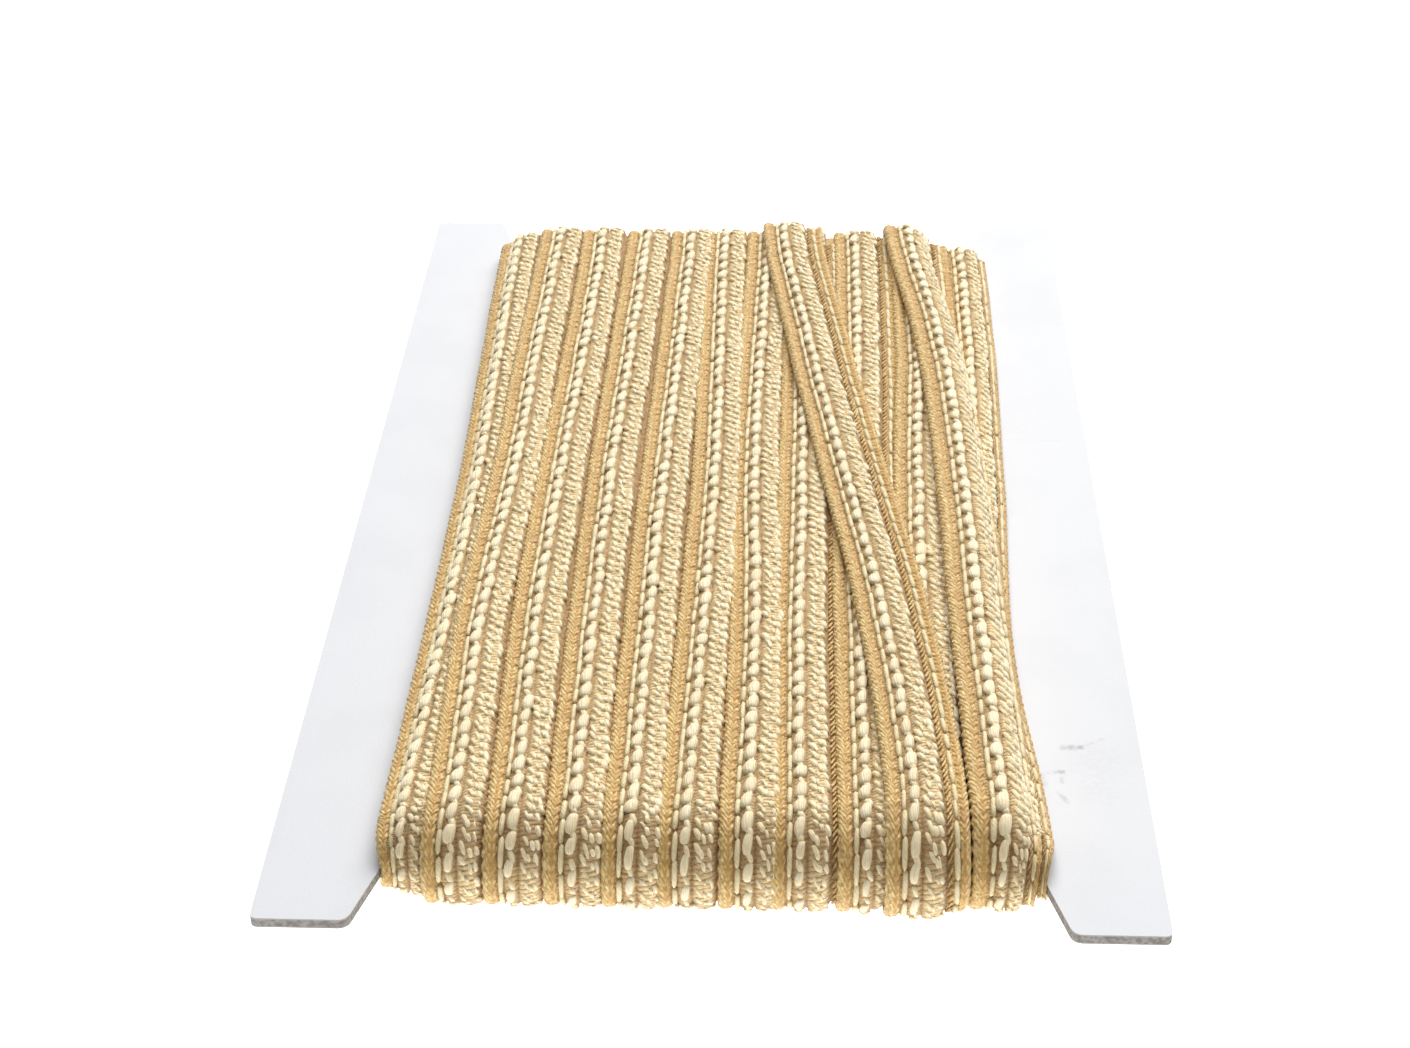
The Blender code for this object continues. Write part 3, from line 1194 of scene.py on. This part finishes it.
GOLD_TWILL = YarnFinish(
    "gold twill", Tone(182, 140, 74), Tone(230, 194, 118), Tone(250, 228, 166),
    spacing=0.7, slant=0.6, mirrored=1.0, fibre_spacing=0.4, relief_depth=0.16, roughness=0.6,
    speck_spacing=0.85, specks=0.75,
)
CREAM_YARN = YarnFinish(
    "cream silky yarn", Tone(232, 203, 150), Tone(255, 240, 198), Tone(255, 250, 222),
    spacing=0.55, slant=0.12, fibre_spacing=0.2, relief_depth=0.08, fibre_depth=0.07, roughness=0.45,
    varied=0.3, speck_spacing=0.8, specks=0.3,
)
PALE_YARN = YarnFinish(
    "pale smooth yarn", Tone(212, 188, 134), Tone(242, 226, 178), Tone(249, 238, 200),
    spacing=0.4, slant=0.5, fibre_spacing=0.2, relief_depth=0.06, roughness=0.5, varied=0.3,
)
THREAD_YARN = YarnFinish(
    "open threads", Tone(222, 191, 134), Tone(255, 237, 190), Tone(255, 250, 220),
    spacing=0.35, slant=0.2, fibre_spacing=0.2, relief_depth=0.06, roughness=0.5, varied=0.3,
    speck_spacing=0.7, specks=0.35,
)
GROUND_CLOTH = YarnFinish(
    "beige ground", Tone(140, 103, 58), Tone(212, 179, 124), Tone(236, 206, 152),
    spacing=0.8, slant=1.4, fibre_spacing=0.3, relief_depth=0.16, roughness=0.75, specular=0.2, varied=0.6,
    # Painted shade: the dark bands under the gold cord and in the recesses near 3.5, 6.0 and 9.8 mm across;
    # the paler bands are the ground's own tone.
    bands=(
        (0.0, Tone(160, 120, 68)), (2.4, Tone(190, 150, 90)), (3.5, Tone(160, 122, 70)),
        (4.6, Tone(222, 192, 140)), (5.5, Tone(214, 182, 128)), (6.0, Tone(146, 108, 62)),
        (6.6, Tone(246, 222, 170)), (9.1, Tone(246, 220, 168)), (9.8, Tone(146, 106, 60)),
        (10.5, Tone(206, 166, 102)), (11.2, Tone(230, 196, 128)), (14.0, Tone(222, 186, 118)),
    ),
)
LAYER_EDGES = YarnFinish(
    "inner layer edges", Tone(130, 100, 62), Tone(200, 168, 116), Tone(230, 202, 152),
    spacing=0.8, slant=0.9, fibre_spacing=0.3, relief_depth=0.25, roughness=0.75, specular=0.2,
    varied=0.45,
)


@dataclass(frozen=True)
class Stroke:
    """A straight faint mark on the card's upper face, from one place to another, in millimetres."""

    start: Pair
    end: Pair
    half_width: float
    strength: float


STROKES = (
    Stroke((57.6, 26.3), (69.6, 26.2), 0.5, 0.1),
    Stroke((61.3, -77.2), (64.4, -77.0), 1.2, 0.8),
    Stroke((64.4, -77.0), (68.8, -74.4), 0.6, 0.3),
    Stroke((56.5, -84.6), (57.0, -87.2), 1.3, 0.5),
    Stroke((58.3, -84.1), (60.6, -83.8), 0.9, 0.55),
    Stroke((60.6, -83.8), (60.4, -86.6), 0.8, 0.5),
    Stroke((59.5, -89.6), (60.8, -92.0), 0.8, 0.55),
    Stroke((67.0, -80.0), (67.0, -89.0), 7.0, 0.1),
)


def marks_group() -> Tree:
    """Makes the group that draws the faint marks on the card's upper face.

    Returns:
        A group that gives how strongly a place is marked.
    """
    scuff_scale, scuff_detail, scuff_span = 900.0, 3.0, (0.3, 0.62)
    group, given, made = new_group(
        "Board marks", {"Place": ("NodeSocketVector", None)}, {"Mark": "NodeSocketFloat"}
    )
    sheet = Sheet(group)
    across, along, _ = sheet.split(given.outputs["Place"])
    torn = sheet.ramp(sheet.noise(given.outputs["Place"], scuff_scale, scuff_detail), *scuff_span)
    total = 0.0
    for stroke in STROKES:
        run = Vector(stroke.end) - Vector(stroke.start)
        from_x = sheet.math("MULTIPLY_ADD", across, 1 / MM, -stroke.start[0])
        from_y = sheet.math("MULTIPLY_ADD", along, 1 / MM, -stroke.start[1])
        share = sheet.times(from_x, run.x / run.length_squared)
        share = sheet.math("MULTIPLY_ADD", from_y, run.y / run.length_squared, share, clamp=True)
        off_x = sheet.math("MULTIPLY_ADD", share, -run.x, from_x)
        off_y = sheet.math("MULTIPLY_ADD", share, -run.y, from_y)
        away = sheet.math("POWER", off_x, 2.0)
        away = sheet.math("SQRT", sheet.math("MULTIPLY_ADD", off_y, off_y, away))
        near = sheet.math("SUBTRACT", 1.0, sheet.ramp(away, 0.0, stroke.half_width))
        total = sheet.math("MULTIPLY_ADD", near, stroke.strength, total)
    sheet.feed(made, {"Mark": sheet.math("MULTIPLY", total, torn, clamp=True)})
    return group


@dataclass(frozen=True)
class BoardFinish:
    """White-lined grey board: smooth paper faces and a fibrous cut edge."""

    name: str = "white lined board"
    paper: Tone = Tone(216, 217, 220)
    paper_shade: Tone = Tone(213, 214, 217)
    core: Tone = Tone(160, 154, 148)
    core_dark: Tone = Tone(126, 120, 114)
    # Painted highlight: the lighter tone near the cut edge's top and bottom rims.
    rim_highlight: Tone = Tone(172, 171, 168)
    mark: Tone = Tone(168, 168, 176)
    facing: Pair = (0.5, 0.8)
    mottle_scale: float = 60.0
    mottle_span: Pair = (0.4, 0.7)
    fibre_scale: float = 1500.0
    fibre_span: Pair = (0.35, 0.65)
    rim_highlight_span: Pair = (0.0006, 0.0009)
    grain_scale: float = 2600.0

    def make(self, middle: float) -> Material:
        """Makes the material, which takes the cut edge from the way that the surface faces.

        Args:
            middle: The height of the board's middle, in metres.

        Returns:
            The board's material.
        """
        material, shader, sheet = new_material(self.name)
        coordinates = sheet.node("ShaderNodeTexCoord")
        place = coordinates.outputs["Object"]
        upward = sheet.split(coordinates.outputs["Normal"])[2]
        face = sheet.ramp(sheet.math("ABSOLUTE", upward), *self.facing)
        mottle = sheet.ramp(sheet.noise(place, self.mottle_scale, 3.0), *self.mottle_span)
        paper = sheet.mix(mottle, self.paper.linear(), self.paper_shade.linear())
        marks = sheet.group(marks_group(), {"Place": place}).outputs["Mark"]
        marks = sheet.times(marks, sheet.ramp(upward, *self.facing))
        paper = sheet.mix(marks, paper, self.mark.linear())
        fibres = sheet.ramp(sheet.noise(place, self.fibre_scale, 4.0), *self.fibre_span)
        core = sheet.mix(fibres, self.core_dark.linear(), self.core.linear())
        # Painted highlight: the cut edge turns lighter near its top and bottom rims, where a rounded rim
        # would catch the light.
        level = sheet.math("ABSOLUTE", sheet.math("SUBTRACT", sheet.split(place)[2], middle))
        core = sheet.mix(sheet.ramp(level, *self.rim_highlight_span), core, self.rim_highlight.linear())
        grain = sheet.noise(place, self.grain_scale)
        inputs = {
            "Base Color": sheet.mix(face, core, paper),
            "Roughness": sheet.math("MULTIPLY_ADD", face, -0.35, 0.9),
            "Normal": sheet.bump(grain, 0.25, 0.0001),
            "Specular IOR Level": 0.35,
        }
        sheet.feed(shader, inputs)
        return material


@dataclass(frozen=True)
class Rib:
    """A line of the braid: what makes its shape, its finish and the name of its piece."""

    shape: Cord | Bead | Ground | InnerLayers
    finish: YarnFinish
    piece: str


RIBS = (
    Rib(InnerLayers(), LAYER_EDGES, "inner_layers"),
    Rib(Ground(), GROUND_CLOTH, "braid_ground"),
    Rib(Cord(1.2, 0.45, 1.22, 1.0, sides=8, lump=0.2, crease_at=0.35, crease_depth=0.2),
        GOLD_TWILL, "gold_cord"),
    Rib(Bead((3.2, 3.05), (1.15, 1.1), 4.9, 0.52, 0.5, shift=0.8, tip=0.62, sharpness=0.6,
             unevenness=0.07, thinned=0.0, seed=17), PALE_YARN, "pale_line"),
    Rib(Cord(13.15, 0.45, 0.85, 0.85, sides=7, lump=0.15, crease_at=-0.3, crease_depth=0.2,
             only_where_shown=True), GOLD_TWILL, "right_cord"),
    Rib(Bead((11.65, 11.85), (0.85, 0.8), 4.9, 0.48, 0.5, shift=2.2, tip=0.6, sharpness=0.6,
             unevenness=0.07, thinned=0.0, seed=18, only_where_shown=True), PALE_YARN, "right_pale_line"),
    Rib(Bead((5.1, 4.65), (1.65, 1.6), 4.0, 1.02, 0.72, rings=6, sides=8, bulge_left=0.15,
             fullest_at=0.52, tip=0.42, sharpness=0.5, unevenness=0.09, scatter=0.1, seed=11),
        CREAM_YARN, "bobble_chain"),
    Rib(Bead((4.7, 5.3), (1.5, 1.5), 2.6, 0.7, 0.5, shift=2.9, arch=0.15, tip=0.5, unevenness=0.12,
             seed=16), THREAD_YARN, "bobble_necks"),
    Rib(Bead((8.75, 9.15), (1.5, 1.3), 2.35, 0.68, 0.6, every=REPEAT / 2, shift=1.2, tip=0.42,
             sharpness=0.6, unevenness=0.16, scatter=0.25, seed=12), CREAM_YARN, "loop_chain"),
    Rib(Bead((6.6, 7.4), (1.55, 1.7), 2.3, 0.62, 0.48, fullest_at=0.45, every=REPEAT / 2, shift=0.4,
             arch=0.1, tip=0.4, sharpness=0.6, unevenness=0.16, scatter=0.3, seed=13),
        THREAD_YARN, "open_threads"),
    Rib(Bead((7.75, 8.1), (1.8, 1.75), 1.8, 0.52, 0.42, rings=3, every=REPEAT / 2, shift=1.5, arch=0.1,
             tip=0.4, sharpness=0.6, unevenness=0.16, scatter=0.45, seed=14), CREAM_YARN, "thread_tips"),
    Rib(Bead((11.2, 10.1), (0.65, 0.75), 2.6, 0.3, 0.32, rings=3, every=REPEAT / 3, seed=15,
             only_where_shown=True), GOLD_TWILL, "twill_stitches"),
)


@dataclass
class StudioCamera:
    """The camera, where the picture was taken from."""

    place: tuple[float, float, float] = (11.15, -418.5, 285.8)
    down: float = 33.75
    turned: float = 2.2
    rolled: float = -0.37
    lens: float = 62.57
    sensor: float = 36.0

    def build(self) -> None:
        """Makes the camera and gives it to the scene."""
        data = bpy.data.cameras.new("camera")
        data.lens = self.lens
        data.sensor_width = self.sensor
        data.clip_start = 0.01
        data.dof.use_dof = False
        camera = new_object("camera", data)
        turn = (
            Matrix.Rotation(math.radians(self.turned), 4, "Z")
            @ Matrix.Rotation(math.radians(90.0 - self.down), 4, "X")
            @ Matrix.Rotation(math.radians(self.rolled), 4, "Z")
        )
        camera.matrix_world = Matrix.Translation(Vector(self.place) * MM) @ turn
        bpy.context.scene.camera = camera


@dataclass(frozen=True)
class SoftBox:
    """A square soft light, its place in metres."""

    name: str
    place: tuple[float, float, float]
    size: float
    watts: float

    def build(self) -> None:
        """Makes the light, turned to the object."""
        data = bpy.data.lights.new(self.name, "AREA")
        data.shape = "SQUARE"
        data.size = self.size
        data.energy = self.watts
        light = new_object(self.name, data)
        light.location = self.place
        light.rotation_euler = (-Vector(self.place)).to_track_quat("-Z", "Y").to_euler()


@dataclass
class Studio:
    """The pale floor and the soft light round the object."""

    floor_half: float = 4.0
    floor_tone: Tone = Tone(254, 254, 255)
    floor_base: Tone = Tone(124, 124, 125)
    floor_glow: float = 2.0
    sky_strength: float = 0.09
    sky_tone: Tone = Tone(252, 253, 255)
    boxes: tuple[SoftBox, ...] = (
        SoftBox("back light", (0.6, 2.4, 2.4), 3.2, 188.0),
        SoftBox("top light", (-0.3, 0.3, 3.2), 2.4, 28.0),
    )

    def build(self) -> None:
        """Makes the floor, the sky and the lights."""
        half = self.floor_half
        mesh = bpy.data.meshes.new("floor")
        corners = [(-half, -half, 0.0), (half, -half, 0.0), (half, half, 0.0), (-half, half, 0.0)]
        mesh.from_pydata(corners, [], [(0, 1, 2, 3)])
        material, shader, sheet = new_material("pale floor")
        inputs = {
            "Base Color": self.floor_base.linear(),
            "Roughness": 0.9,
            "Emission Color": self.floor_tone.linear(),
            "Emission Strength": self.floor_glow,
        }
        sheet.feed(shader, inputs)
        mesh.materials.append(material)
        floor = new_object("floor", mesh)
        world = bpy.data.worlds.new("studio")
        world.use_nodes = True
        background = world.node_tree.nodes["Background"]
        background.inputs["Color"].default_value = self.sky_tone.linear()
        background.inputs["Strength"].default_value = self.sky_strength
        bpy.context.scene.world = world
        for box in self.boxes:
            box.build()
        bpy.context.scene.view_settings.view_transform = "Standard"


@dataclass
class GimpTrim:
    """The wound braid, line by line, and the card that carries it."""

    winding: Winding

    def build(self) -> list[Piece]:
        """Builds each line of the braid with its finish, and lets it ride on the frame.

        Returns:
            The pieces made.
        """
        strands = strand_group()
        finishes = {rib.finish.name: rib.finish for rib in RIBS}
        materials = {name: finish.make(strands) for name, finish in finishes.items()}
        pieces = []
        for rib in RIBS:
            piece = rib.shape.build(self.winding).make(rib.piece, materials[rib.finish.name])
            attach(piece, "root")
            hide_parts("wound_braid")
            pieces.append(piece)
        return pieces

    def dress_card(self, card: Piece) -> None:
        """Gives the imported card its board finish."""
        card.data.materials.clear()
        card.data.materials.append(BoardFinish().make(self.winding.middle_height * MM))


def main(loaded: dict[str, object]) -> None:
    """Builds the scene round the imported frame.
    """
    logging.basicConfig(level=logging.INFO, format="%(message)s")
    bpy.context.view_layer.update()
    StudioCamera().build()
    Studio().build()
    low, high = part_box("winding_card")
    winding = Winding(WindingForm(), middle_height=(low.z + high.z) / 2 / MM)
    LOG.info("braid shown: %.2f m", winding.route.length * MM)
    LOG.info("passes: %s", ", ".join(braid_pass.name for braid_pass in PASSES))
    trim = GimpTrim(winding)
    for piece in trim.build():
        triangles = sum(len(polygon.vertices) - 2 for polygon in piece.data.polygons)
        LOG.info("%s: %d triangles", piece.name, triangles)
    card = loaded["nodes"]["winding_card"]
    trim.dress_card(card)
    LOG.info("%s: dressed", card.name)


if __name__ == "__main__":
    main(frame)
